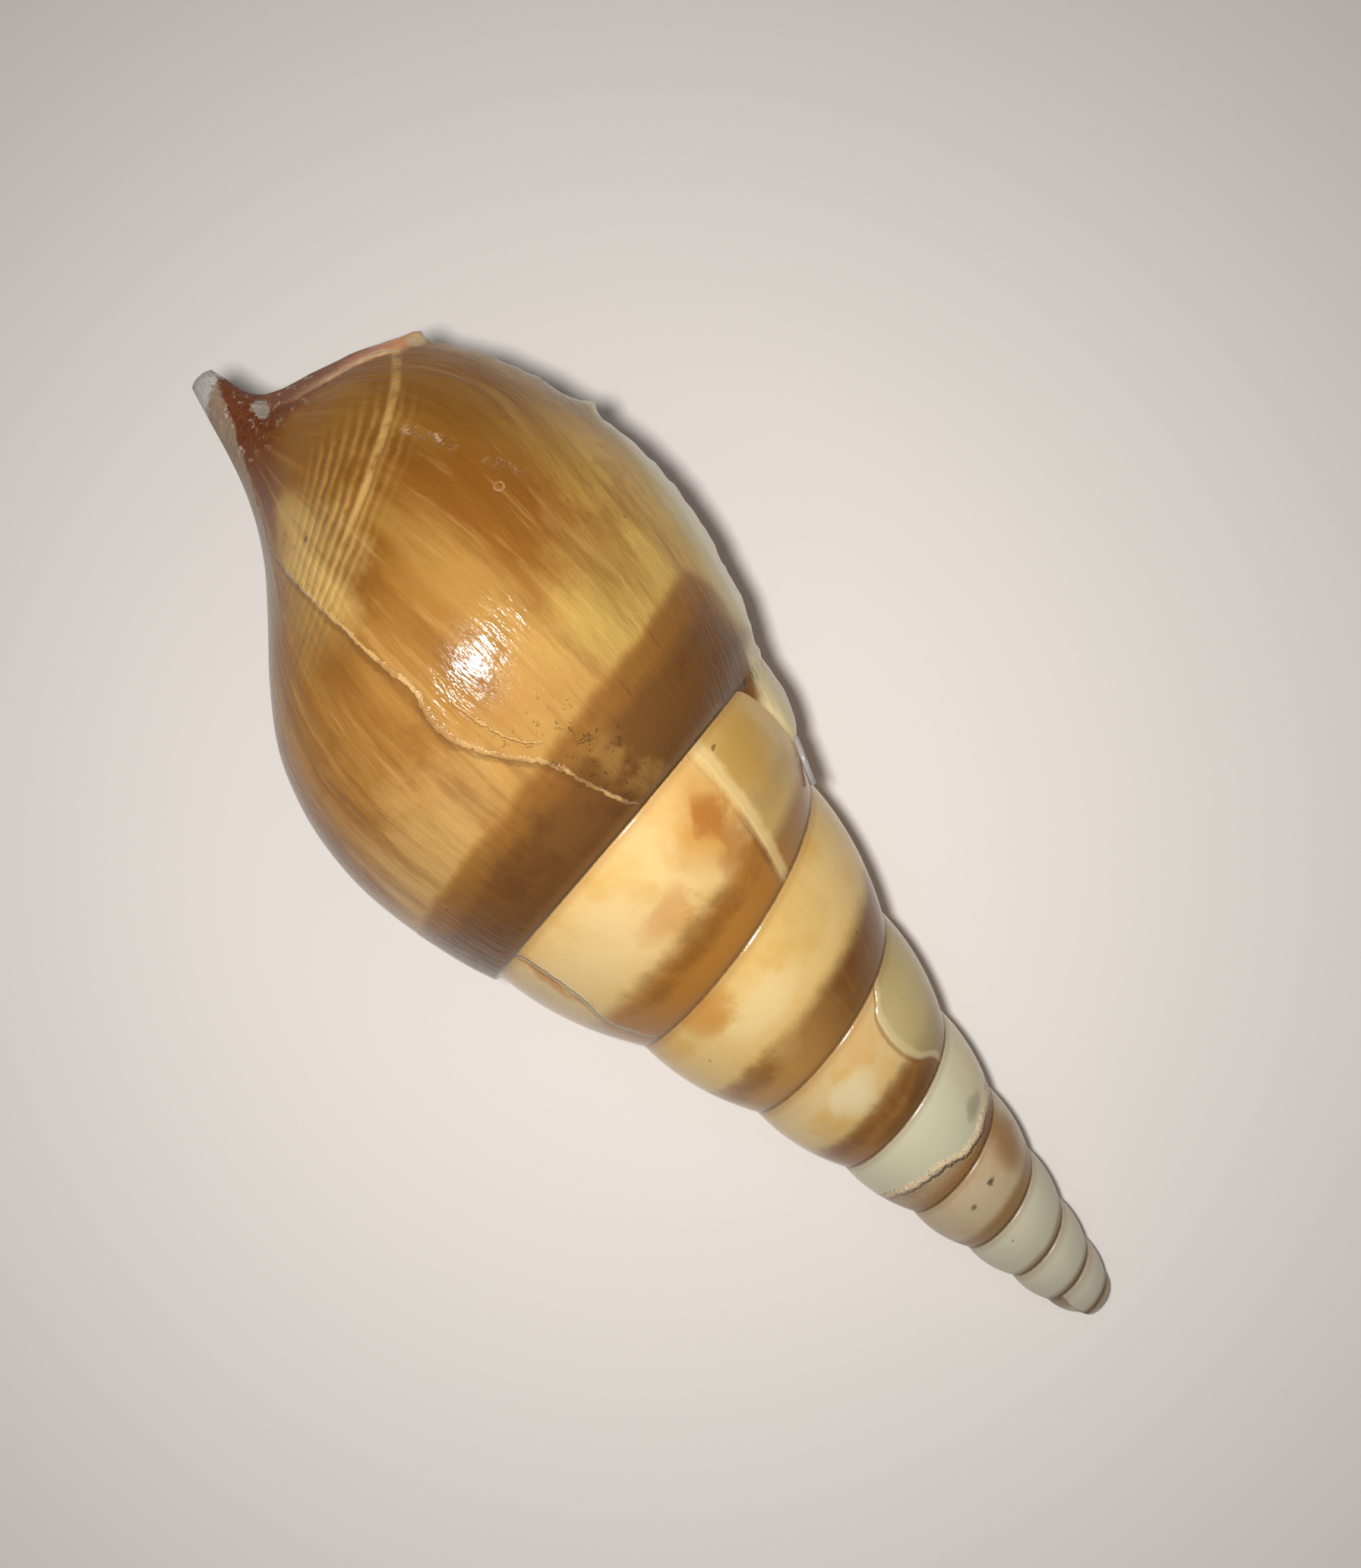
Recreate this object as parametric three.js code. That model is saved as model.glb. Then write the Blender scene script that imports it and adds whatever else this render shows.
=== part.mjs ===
// A tibia sea snail shell: a tall spire of many whorls, a swollen last whorl, a short broken
// beak, and an outer lip that climbs the whorl before it. It grew as one piece.
//
// The shell is built about its own coiling axis and then laid down as it rests. Places on it:
//   age   turns of growth before the lip: 0 at the lip, larger towards the apex
//   down  distance along the axis from the apex towards the beak
//   out   distance from the axis
//   share way along a whorl's outline, from 0 at its suture to 1 at the end of the beak
import * as THREE from 'three';

// Coiling, in millimetres and turns
const LENGTH = 145;                     // apex to the broken end of the beak
const TURNS = 8.4;                      // whorls that are left, the first ones being worn away
const LIP_ANGLE = 8;                    // degrees that the lip stands above the shell's side
const SUTURE = { pole: -18.6, reach: 108.5, ratio: 0.8147 };
const SUTURE_TILT = { height: 2.5, angle: 47, from: 0.45, over: 0.9 };
const SUTURE_DRIFT = { height: 7.8, turns: 0.45, power: 1.5, draw_in: 0.24 };
const SPIRE = { core: 10.85, flare: 13.51, decay: 0.597, taper: 1.015 };
const WHORL_BULGE = 0.27;               // swelling of a whorl, for its height

// The lip leaves the suture near its end and climbs the older whorl as a flange
const CLIMB = { height: 9.2, start: 0.08, turns: 0.05 };
const FLANGE = { step: 1.2, old_step: 0.2, turns: 0.2, round: 1.8, share: 0.2, scale: 75, fillet: 1.5 };

// Outlines of the last whorl, [down, out], from the suture to the beak
const MID_AGE = 0.444;
const MID_OUTLINE = [
  [79.2, 21.4], [82, 22.6], [86.1, 23.6], [91, 24.4], [96.5, 24.7], [102, 24.1], [107, 22.7],
  [112, 20.3], [117, 16.3], [121.6, 11.8], [126, 7.9], [131, 5], [137, 2.9], [LENGTH, 1.3],
];
const LIP_OUTLINE = [
  [86.9, 23.2], [89.6, 25.4], [93.5, 26.9], [98.5, 28.4], [104, 29.4], [110, 29.4], [116, 28.4],
  [122, 26.5], [127.5, 24.2], [132.2, 20.8], [135.2, 16.8], [137.6, 10.2], [139.9, 4], [LENGTH, 1.5],
];
const OUTLINE_SETTLE = { down: 3, out: 8 };   // how soon an outline forgets where its suture is

// The pillar that the whorls wind round, and the beak that it ends in
const PILLAR = [[60, 7.5], [100, 6.2], [120, 5], [131, 3.8], [138, 2.3], [LENGTH, 1.2]];
const BASE_TAPER = 26;                  // a whorl narrows to the pillar over this length
const BEAK_BEND = { from: 128, by: 1.2 };

// The hollow behind the lip, and the canal under the beak
const WALL = 1.9;
const LIP_WALL = { thickness: 3, turns: 0.1 };
const CANAL_WALL = { thickness: 0.9, from: 128, over: 12 };
const STEEPEST_WALL = 3;
const HOLLOW = { mouth: 1.1, canal: 0.17, from: 0.72, over: 0.22 };
const CORNER_ROUND = { suture: 2, canal: 3 };   // rows over which the hollow opens up

// The shell lies on its worn underside, with the beak raised
const BED = { depth: 1.8, tilt: 13.45, give: 0.12 };

// Mesh
const SIDES = 40;                       // columns to a turn
const LIP_CROWD = 0.6;                  // how much the columns gather at the lip
const WHORL_ROWS = 5;                   // rows from one suture to the next
const ROWS = 22;                        // rows from the suture to the beak
const SUTURE_SHARE = 0.25;
const CORNER_SHARE = 0.03;
const LAST_SPLIT = { share: 0.2, over: 0.2 };
const BEAK_CAP = 0.3;
const APEX_CAP = 0.15;

const clamp = (x, low, high) => Math.min(high, Math.max(low, x));
const mix = (p, q, t) => p + (q - p) * t;
const ease = (x) => { const t = clamp(x, 0, 1); return t * t * (3 - 2 * t); };
const radians = THREE.MathUtils.degToRad;

// A smooth outline through its points, read at a share of the way along
function readOutline(points, share) {
  const along = clamp(share, 0, 1) * (points.length - 1);
  const k = Math.min(Math.floor(along), points.length - 2);
  const t = along - k;
  return [0, 1].map((axis) => {
    const here = points[k][axis];
    const next = points[k + 1][axis];
    const before = k > 0 ? points[k - 1][axis] : 2 * here - next;
    const after = k + 2 < points.length ? points[k + 2][axis] : 2 * next - here;
    const bend = 2 * before - 5 * here + 4 * next - after;
    const twist = 3 * here - 3 * next + after - before;
    return 0.5 * (2 * here + (next - before) * t + bend * t ** 2 + twist * t ** 3);
  });
}

function pillarOut(down) {
  const k = PILLAR.findIndex(([end]) => down <= end);
  if (k < 0) return PILLAR.at(-1)[1];
  const [start, thick] = PILLAR[Math.max(0, k - 1)];
  const [end, thin] = PILLAR[Math.max(1, k)];
  return mix(thick, thin, clamp((down - start) / (end - start), 0, 1));
}

// The suture winds down the shell, and turns back towards the apex before the lip
function sutureDrift(age) {
  const late = clamp(1 - age / SUTURE_DRIFT.turns, 0, 1) ** SUTURE_DRIFT.power;
  return -SUTURE_DRIFT.height * late * ease(age + 1);
}

function sutureDown(age) {
  const { height, angle, from, over } = SUTURE_TILT;
  const lean = Math.cos(2 * Math.PI * age + radians(LIP_ANGLE - angle));
  const tilt = height * (1 - ease((age - from) / over)) * ease((age + 0.6) / 0.6) * lean;
  return SUTURE.pole + SUTURE.reach * SUTURE.ratio ** age + tilt + sutureDrift(age);
}

function sutureOut(age) {
  const spire = SPIRE.core + SPIRE.flare * SPIRE.decay ** age - SPIRE.taper * age;
  return spire + SUTURE_DRIFT.draw_in * sutureDrift(age);
}

const climb = (age) => CLIMB.height * ease((CLIMB.start - age) / CLIMB.turns);
const topDown = (age) => sutureDown(age) - climb(age);

// Outside of a whorl older than the last, and of the pillar that it runs down into
function oldOut(age, down) {
  const top = sutureDown(age);
  const foot = sutureDown(age - 1);
  const height = foot - top;
  const v = (down - top) / height;
  if (v <= 1) {
    return mix(sutureOut(age), sutureOut(age - 1), v) + WHORL_BULGE * height * v * (1 - v);
  }
  const fall = clamp((down - foot) / (BASE_TAPER * SUTURE.ratio ** (age - 1)), 0, 1);
  const shoulder = sutureOut(age - 1) - pillarOut(foot);
  return pillarOut(down) + shoulder * (1 + Math.cos(Math.PI * fall)) / 2;
}

function oldPoint(age, share) {
  const top = sutureDown(age);
  const foot = sutureDown(age - 1);
  const down = share <= SUTURE_SHARE
    ? mix(top, foot, share / SUTURE_SHARE)
    : mix(foot, LENGTH, (share - SUTURE_SHARE) / (1 - SUTURE_SHARE));
  return [down, oldOut(age, down)];
}

// Outside of the last whorl: a smooth change from the outline one turn back, through the one
// halfway, to the one at the lip
function lastPoint(age, share) {
  const lip = readOutline(LIP_OUTLINE, share);
  const mid = readOutline(MID_OUTLINE, share);
  const old = oldPoint(1, share);
  const toLip = ((age - MID_AGE) * (age - 1)) / MID_AGE;
  const toMid = (age * (age - 1)) / (MID_AGE * (MID_AGE - 1));
  const toOld = (age * (age - MID_AGE)) / (1 - MID_AGE);
  const blend = (p, q, r) => toLip * p + toMid * q + toOld * r;
  const downMiss = sutureDown(age) - blend(LIP_OUTLINE[0][0], MID_OUTLINE[0][0], sutureDown(1));
  const outMiss = sutureOut(age) - blend(LIP_OUTLINE[0][1], MID_OUTLINE[0][1], sutureOut(1));
  return [
    blend(lip[0], mid[0], old[0]) + downMiss * (1 - share) ** OUTLINE_SETTLE.down,
    blend(lip[1], mid[1], old[1]) + outMiss * (1 - share) ** OUTLINE_SETTLE.out,
  ];
}

// Outside of the shell at any age. A share below 0 is on the flange of the climbing lip.
function outside(age, share) {
  if (age >= 1) return oldPoint(age, share);
  const onFlange = share < 0;
  const [down, out] = onFlange ? [sutureDown(age) + share * FLANGE.scale, 0] : lastPoint(age, share);
  if (share >= FLANGE.share) return [down, out];
  const above = down - topDown(age);
  if (above < 1e-6) return [topDown(age), oldOut(age + 1, topDown(age))];
  const step = mix(FLANGE.step, FLANGE.old_step, ease(age / FLANGE.turns));
  const flange = oldOut(age + 1, down) + step * (1 - Math.exp(-above / FLANGE.round));
  return [down, (out + flange + Math.hypot(out - flange, FLANGE.fillet)) / 2];
}

const topShare = (age) => (age < 1 ? -climb(age) / FLANGE.scale : 0);

// Share at which the next younger whorl sits on this one
function splitShare(age) {
  if (age < 1) return mix(splitShare(1), LAST_SPLIT.share, ease((1 - age) / LAST_SPLIT.over));
  const top = sutureDown(age);
  return (SUTURE_SHARE * (topDown(age - 1) - top)) / (sutureDown(age - 1) - top);
}

function rowShare(age, row) {
  if (row <= WHORL_ROWS) return mix(topShare(age), splitShare(age), row / WHORL_ROWS);
  const corner = splitShare(age) + CORNER_SHARE;
  return mix(corner, 1, (row - WHORL_ROWS - 1) / (ROWS - WHORL_ROWS - 1));
}

const hollowTurns = (share) => mix(HOLLOW.mouth, HOLLOW.canal, ease((share - HOLLOW.from) / HOLLOW.over));

// Inside of the last whorl's wall, which meets the older whorl at the suture and the canal
function insideRowShare(age, row) {
  return mix(topShare(age) + CORNER_SHARE, 1, row / ROWS);
}

function inside(age, row) {
  const share = insideRowShare(age, row);
  const [down, out] = outside(age, share);
  const [downNext, outNext] = outside(age, Math.min(1, share + 0.01));
  const slope = (outNext - out) / Math.max(downNext - down, 0.2);
  const wall = mix(LIP_WALL.thickness, WALL, ease(age / LIP_WALL.turns));
  const thin = mix(wall, CANAL_WALL.thickness, ease((down - CANAL_WALL.from) / CANAL_WALL.over));
  const thickness = thin * Math.min(STEEPEST_WALL, Math.hypot(1, slope));
  const floor = oldOut(age + 1, down);
  const room = Math.max(out - floor, 0.02);
  const opening = ease(row / CORNER_ROUND.suture) * ease((ROWS - row) / CORNER_ROUND.canal);
  return [down, floor + (room - thickness * (1 - Math.exp(-room / thickness))) * opening];
}

// A place in space, with +X to the apex and the worn underside flattened
function place(age, [down, out]) {
  const angle = radians(LIP_ANGLE) + 2 * Math.PI * age;
  const bend = BEAK_BEND.by * clamp((down - BEAK_BEND.from) / (LENGTH - BEAK_BEND.from), 0, 1) ** 2;
  const bed = BED.depth + down * Math.tan(radians(BED.tilt));
  const below = -out * Math.sin(angle) - bed;
  const up = below > 0 ? -bed - BED.give * (1 - Math.exp(-below / BED.give)) : out * Math.sin(angle);
  return [-down, out * Math.cos(angle) + bend, up];
}

// Columns gather at the lip, and fall at the same angles on every turn
function columnAge(column) {
  const turn = column / SIDES;
  return turn - (LIP_CROWD * Math.sin(2 * Math.PI * turn)) / (2 * Math.PI);
}

// A grid that makes each of its vertices once, and knows where one belongs to another grid
class Grid {
  constructor(vertices, point, shared) {
    Object.assign(this, { vertices, point, shared, made: new Map() });
  }

  vertex(column, row) {
    const other = this.shared(column, row);
    if (other !== undefined) return other;
    const key = `${column} ${row}`;
    if (!this.made.has(key)) {
      this.made.set(key, this.vertices.length);
      this.vertices.push(this.point(column, row));
    }
    return this.made.get(key);
  }
}

function addTriangle(triangles, a, b, c) {
  if (a !== b && b !== c && c !== a) triangles.push([a, b, c]);
}

function addQuad(triangles, a, b, c, d) {
  addTriangle(triangles, a, b, c);
  addTriangle(triangles, a, c, d);
}

// Joins two rows of vertices that start and end together
function addZip(triangles, one, two) {
  let p = 0;
  let q = 0;
  while (p < one.length - 1 || q < two.length - 1) {
    const onePart = (p + 1) / (one.length - 1);
    const twoPart = (q + 1) / (two.length - 1);
    if (q === two.length - 1 || (p < one.length - 1 && onePart <= twoPart)) {
      addTriangle(triangles, one[p], two[q], one[p + 1]);
      p += 1;
    } else {
      addTriangle(triangles, one[p], two[q], two[q + 1]);
      q += 1;
    }
  }
}

function buildShell() {
  const vertices = [];
  const triangles = [];
  const columns = Math.floor(TURNS * SIDES);
  const deep = Math.floor(HOLLOW.mouth * SIDES);

  // The whorls, each joined to the next along the suture
  const whorls = new Grid(vertices, (column, row) => {
    const age = columnAge(column);
    if (column < SIDES && row === 0) return place(age, [topDown(age), oldOut(age + 1, topDown(age))]);
    return place(age, outside(age, rowShare(age, row)));
  }, (column, row) => (column >= SIDES && row === WHORL_ROWS ? whorls.vertex(column - SIDES, 0) : undefined));

  // The older whorl and pillar, seen inside the mouth
  const floor = new Grid(vertices, (column, row) => {
    const plain = rowShare(1 + columnAge(column), row);
    const age = 1 + hollowTurns(plain) * columnAge(column) / columnAge(deep);
    return place(age, oldPoint(age, rowShare(age, row)));
  }, (column, row) => (column === 0 ? whorls.vertex(SIDES, row) : undefined));

  // The inside of the wall
  const roof = new Grid(vertices, (column, row) => {
    const share = insideRowShare(columnAge(column), row);
    const age = hollowTurns(share) * columnAge(column) / columnAge(deep);
    return place(age, inside(age, row));
  }, (column, row) => {
    if (row === 0) return floor.vertex(column, WHORL_ROWS + 1);
    return row === ROWS ? floor.vertex(column, ROWS) : undefined;
  });

  const cover = (grid, column, row) => addQuad(triangles, grid.vertex(column, row),
    grid.vertex(column, row + 1), grid.vertex(column + 1, row + 1), grid.vertex(column + 1, row));
  for (let column = 0; column < columns; column += 1) {
    const rows = column < SIDES ? ROWS : WHORL_ROWS;
    for (let row = 0; row < rows; row += 1) cover(whorls, column, row);
  }
  for (let column = 0; column < deep; column += 1) {
    for (let row = WHORL_ROWS + 1; row < ROWS; row += 1) cover(floor, column, row);
    for (let row = 0; row < ROWS; row += 1) {
      addQuad(triangles, roof.vertex(column, row), roof.vertex(column + 1, row),
        roof.vertex(column + 1, row + 1), roof.vertex(column, row + 1));
    }
  }

  // The edge of the lip, and the far end of the hollow
  for (let row = 0; row < ROWS; row += 1) {
    addQuad(triangles, whorls.vertex(0, row), roof.vertex(0, row),
      roof.vertex(0, row + 1), whorls.vertex(0, row + 1));
  }
  const roofEnd = Array.from({ length: ROWS + 1 }, (_, row) => roof.vertex(deep, row));
  const floorEnd = Array.from({ length: ROWS - WHORL_ROWS }, (_, k) => floor.vertex(deep, WHORL_ROWS + 1 + k));
  addZip(triangles, roofEnd, floorEnd);

  // The broken end of the beak
  const beakRing = Array.from({ length: SIDES + 1 }, (_, column) => whorls.vertex(column, ROWS));
  vertices.push([-LENGTH - BEAK_CAP, BEAK_BEND.by, 0]);
  const beakEnd = vertices.length - 1;
  beakRing.forEach((a, k) => addTriangle(triangles, a, beakEnd, beakRing[(k + 1) % beakRing.length]));

  // The worn apex
  const apexRing = Array.from({ length: SIDES + 1 }, (_, k) => whorls.vertex(columns - SIDES + k, 0));
  for (let row = 1; row <= WHORL_ROWS; row += 1) apexRing.push(whorls.vertex(columns, row));
  vertices.push([APEX_CAP, 0, 0]);
  const apexEnd = vertices.length - 1;
  apexRing.slice(1).forEach((b, k) => addTriangle(triangles, apexRing[k], b, apexEnd));

  const geometry = new THREE.BufferGeometry();
  geometry.setAttribute('position', new THREE.Float32BufferAttribute(vertices.flat(), 3));
  geometry.setIndex(triangles.flat());
  geometry.computeVertexNormals();
  return geometry;
}

// Lays the shell down, with the middle of its underside at the origin
function layDown(geometry) {
  geometry.rotateY(radians(BED.tilt));
  geometry.computeBoundingBox();
  const { min, max } = geometry.boundingBox;
  geometry.translate(-(min.x + max.x) / 2, -(min.y + max.y) / 2, -min.z);
}

const geometry = buildShell();
layDown(geometry);
const shell = new THREE.Mesh(geometry, new THREE.MeshStandardMaterial({
  color: 0xc89a55, roughness: 0.25, metalness: 0,
}));
shell.name = 'shell';

const group = new THREE.Group();
group.add(shell);
export default group;
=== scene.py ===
import math

import bpy
from mathutils import Matrix, Vector


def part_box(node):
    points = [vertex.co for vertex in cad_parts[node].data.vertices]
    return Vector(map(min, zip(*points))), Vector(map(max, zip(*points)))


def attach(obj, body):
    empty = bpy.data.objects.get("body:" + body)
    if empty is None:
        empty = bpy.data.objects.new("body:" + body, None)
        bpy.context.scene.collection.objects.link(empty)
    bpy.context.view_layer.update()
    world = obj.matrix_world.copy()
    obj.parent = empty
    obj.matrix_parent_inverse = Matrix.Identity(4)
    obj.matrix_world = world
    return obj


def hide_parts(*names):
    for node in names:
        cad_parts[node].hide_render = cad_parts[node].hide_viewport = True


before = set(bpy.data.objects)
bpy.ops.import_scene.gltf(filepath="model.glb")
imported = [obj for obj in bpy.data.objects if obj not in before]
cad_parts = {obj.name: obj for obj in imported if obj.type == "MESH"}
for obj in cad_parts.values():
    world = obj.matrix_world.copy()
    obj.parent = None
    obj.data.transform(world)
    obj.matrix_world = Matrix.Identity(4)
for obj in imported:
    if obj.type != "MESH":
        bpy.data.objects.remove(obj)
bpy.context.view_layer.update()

# ---- The shell: how it grows ----
# A sea snail adds shell of calcium carbonate along the lip of its mouth, turn after turn, as one
# piece. A place on it is an age in turns before the lip, and in millimetres a distance down the
# axis from the apex and a distance out from the axis, as in the solid that this piece replaces.

length = 145
turns = 8.4
lip_angle = 8
last_outline_age = 0.444
middle_outline = [
    (79.2, 21.4), (82, 22.6), (86.1, 23.6), (91, 24.4), (96.5, 24.7), (102, 24.1), (107, 22.7),
    (112, 20.3), (117, 16.3), (121.6, 11.8), (126, 7.9), (131, 5), (137, 2.9), (length, 1.3)]
lip_outline = [
    (86.9, 23.2), (89.6, 25.4), (93.5, 26.9), (98.5, 28.4), (104, 29.4), (110, 29.4), (116, 28.4),
    (122, 26.5), (127.5, 24.2), (132.2, 20.8), (135.2, 16.8), (137.6, 10.2), (139.9, 4),
    (length, 1.5)]
pillar = [(60, 7.5), (100, 6.2), (120, 5), (131, 3.8), (138, 2.3), (length, 1.2)]
whorl_shrink = 0.8147       # the size of a whorl beside the next younger one
suture_share = 0.25         # share of an older whorl's side that lies above the next suture
flange_scale = 75           # millimetres of climbing lip to a share of 1
flange_rise = 1.8           # how soon the climbing lip reaches its full thickness
flange_blend = 1.5
# The lip's knobs, its tooth and its broken corner: down the axis, height, half width
lip_knobs = [
    (133.0, 1.3, 1.1), (129.6, -0.3, 1.2), (121.3, 0.45, 0.7), (118.6, -0.3, 1.0),
    (115.4, 1.4, 0.9), (113.4, -0.35, 1.0), (97.5, 0.35, 2.0), (91.0, 0.5, 1.6), (86.3, -0.7, 0.8)]


def clamp(x, low=0.0, high=1.0):
    return min(high, max(low, x))


def between(p, q, t):
    return p + (q - p) * t


def ease(x):
    t = clamp(x)
    return t * t * (3 - 2 * t)


def read_outline(points, share):
    """A smooth outline through its points, read at a share of the way along."""
    along = clamp(share) * (len(points) - 1)
    k = min(int(along), len(points) - 2)
    t = along - k
    place_there = []
    for axis in (0, 1):
        here, next_one = points[k][axis], points[k + 1][axis]
        before = points[k - 1][axis] if k > 0 else 2 * here - next_one
        after = points[k + 2][axis] if k + 2 < len(points) else 2 * next_one - here
        bend = 2 * before - 5 * here + 4 * next_one - after
        twist = 3 * here - 3 * next_one + after - before
        run = 2 * here + (next_one - before) * t + bend * t ** 2 + twist * t ** 3
        place_there.append(0.5 * run)
    return place_there


def pillar_out(down):
    """Outside of the pillar in the middle of the shell."""
    for (start, thick), (end, thin) in zip(pillar, pillar[1:]):
        if down <= end:
            return between(thick, thin, clamp((down - start) / (end - start)))
    return pillar[-1][1]


def suture_drift(age):
    """How far the suture is pulled up as the mouth nears its end."""
    return -7.8 * clamp(1 - age / 0.45) ** 1.5 * ease(age + 1)


def suture_down(age):
    """Depth of the suture: it closes in on a point above the apex, and leans near the lip."""
    lean = math.cos(2 * math.pi * age + math.radians(lip_angle - 47))
    slant = 2.5 * (1 - ease((age - 0.45) / 0.9)) * ease((age + 0.6) / 0.6) * lean
    return -18.6 + 108.5 * whorl_shrink ** age + slant + suture_drift(age)


def suture_out(age):
    """Distance of the suture from the axis."""
    cone = 10.85 + 13.51 * 0.597 ** age - 1.015 * age
    return cone + 0.24 * suture_drift(age) + 0.35 * ease(age - 6.4)


def climb(age):
    """How far the lip climbs onto the whorl before it."""
    return 9.2 * ease((0.08 - age) / 0.05)


def top_down(age):
    """Depth at which a whorl's outside starts, on the whorl before it."""
    return suture_down(age) - climb(age)


def old_out(age, down):
    """Outside of a whorl older than the last, and of the pillar that it runs down into."""
    top, foot = suture_down(age), suture_down(age - 1)
    height = foot - top
    v = (down - top) / height
    if v <= 1:
        bulge = 0.27 + 0.07 * ease((age - 4) / 2)
        return between(suture_out(age), suture_out(age - 1), v) + bulge * height * v * (1 - v)
    fall = clamp((down - foot) / (26 * whorl_shrink ** (age - 1)))
    shoulder = suture_out(age - 1) - pillar_out(foot)
    return pillar_out(down) + shoulder * (1 + math.cos(math.pi * fall)) / 2


def old_point(age, share):
    """A place on an older whorl, at a share of the way from its suture to the beak."""
    top, foot = suture_down(age), suture_down(age - 1)
    if share <= suture_share:
        down = between(top, foot, share / suture_share)
    else:
        down = between(foot, length, (share - suture_share) / (1 - suture_share))
    return down, old_out(age, down)


def last_point(age, share):
    """Outside of the last whorl, between the outline one turn back and the one at the lip."""
    m = last_outline_age
    to_lip = (age - m) * (age - 1) / m
    to_middle = age * (age - 1) / (m * (m - 1))
    to_old = age * (age - m) / (1 - m)
    lip = read_outline(lip_outline, share)
    middle = read_outline(middle_outline, share)
    old = old_point(1, share)
    sutures = (suture_down, suture_out)
    settle = (3, 8)
    found = []
    for k in (0, 1):
        lip_start, middle_start = lip_outline[0][k], middle_outline[0][k]
        value = to_lip * lip[k] + to_middle * middle[k] + to_old * old[k]
        start = to_lip * lip_start + to_middle * middle_start + to_old * sutures[k](1)
        found.append(value + (sutures[k](age) - start) * (1 - share) ** settle[k])
    return found


def outside(age, share):
    """A place on the outside, down and out, with the flange by which the lip climbs."""
    if age >= 1:
        return old_point(age, share)
    if share >= 0:
        down, out = last_point(age, share)
    else:
        down, out = suture_down(age) + share * flange_scale, 0
    if share >= 0.2:
        return down, out
    above = down - top_down(age)
    if above < 1e-6:
        return top_down(age), old_out(age + 1, top_down(age))
    step = between(1.2, 0.2, ease(age / 0.2))
    flange = old_out(age + 1, down) + step * (1 - math.exp(-above / flange_rise))
    return down, (out + flange + math.hypot(out - flange, flange_blend)) / 2


def top_share(age):
    """The share at which the outside starts, which is below 0 where the lip climbs."""
    return -climb(age) / flange_scale if age < 1 else 0.0


def split_share(age):
    """Share at which the next younger whorl sits on this one."""
    if age < 1:
        return between(split_share(1), 0.2, ease((1 - age) / 0.2))
    top = suture_down(age)
    return suture_share * (top_down(age - 1) - top) / (suture_down(age - 1) - top)


# ---- The shell: outside, lip and mouth ----
# One grid of fine faces follows the growth: the whorls joined along the suture, then the older
# whorl seen inside the mouth, the inside of the wall, and the broken edge of the lip.

sides = 144                 # columns to a turn
whorl_rows = 22             # rows from one suture to the next
rows = 88                   # rows from the suture to the beak
lip_crowd = 0.75            # how closely columns crowd at the lip
mouth_turns = 1.1           # how far the hollow goes in
edge_rows = 4               # rows round the edge of the lip
knob_turns = 0.011          # how soon the knobs fade behind the lip
round_turns = 0.0035
lip_wall, inner_wall, beak_wall = 3, 1.9, 0.9
worn_depth = 1.8            # depth of the worn underside
worn_rounding = 0.12
beak_from = 128             # where the beak starts to bend aside
beak_bend = 1.2
tilt = math.radians(13.45)  # of the axis as the shell lies
columns = int(turns * sides)
deep = int(mouth_turns * sides)


def column_age(column):
    """Age at a column, with the columns closest together at the lip."""
    turn = column / sides
    return turn - lip_crowd * math.sin(2 * math.pi * turn) / (2 * math.pi)


def crowd_ends(share):
    return between(share, (1 - math.cos(math.pi * share)) / 2, 0.6)


def row_share(age, row):
    """Share at a row: some rows above the next suture, and the others below it."""
    if row <= whorl_rows:
        return between(top_share(age), split_share(age), crowd_ends(row / whorl_rows))
    corner = split_share(age) + 0.006
    return between(corner, 1, (row - whorl_rows - 1) / (rows - whorl_rows - 1))


def hollow_turns(share):
    """How far the hollow goes in: less towards the beak."""
    return between(mouth_turns, 0.17, ease((share - 0.72) / 0.22))


def lip_relief(age, down):
    """The lip's knobs and chips, and its rounded edge, which fade within a few millimetres."""
    knobs = sum(height * math.exp(-((down - at) / wide) ** 2) for at, height, wide in lip_knobs)
    long_waves = 0.12 * math.sin(down * 1.9) + 0.09 * math.sin(down * 4.3 + 1)
    uneven = long_waves + 0.05 * math.sin(down * 9.1)
    rounding = 0.55 * math.exp(-age / round_turns)
    return (knobs + uneven) * math.exp(-age / knob_turns) - rounding


def inner_share(age, row):
    return between(top_share(age) + 0.03, 1, row / rows)


def inside(age, row):
    """The inner face of the wall, a thickness in from the outside."""
    share = inner_share(age, row)
    down, out = outside(age, share)
    down_next, out_next = outside(age, min(1, share + 0.01))
    slope = (out_next - out) / max(down_next - down, 0.2)
    wall = between(lip_wall, inner_wall, ease(age / 0.1))
    wall = between(wall, beak_wall, ease((down - beak_from) / 12))
    thickness = wall * min(3, math.hypot(1, slope))
    floor_out = old_out(age + 1, down)
    room = max(out - floor_out, 0.02)
    opening = ease(row / 7) * ease((rows - row) / 11)
    return down, floor_out + (room - thickness * (1 - math.exp(-room / thickness))) * opening


def lay(age, spot):
    """A place in metres, laid down on the worn underside, before the shell is centred."""
    down, out = spot
    angle = math.radians(lip_angle) + 2 * math.pi * age
    bed = worn_depth + down * math.tan(tilt)
    under = -out * math.sin(angle) - bed
    x = -down
    y = out * math.cos(angle) + beak_bend * clamp((down - beak_from) / (length - beak_from)) ** 2
    z = out * math.sin(angle)
    if under > 0:
        z = -bed - worn_rounding * (1 - math.exp(-under / worn_rounding))
    return ((x * math.cos(tilt) + z * math.sin(tilt)) / 1000, y / 1000,
            (z * math.cos(tilt) - x * math.sin(tilt)) / 1000)


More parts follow.
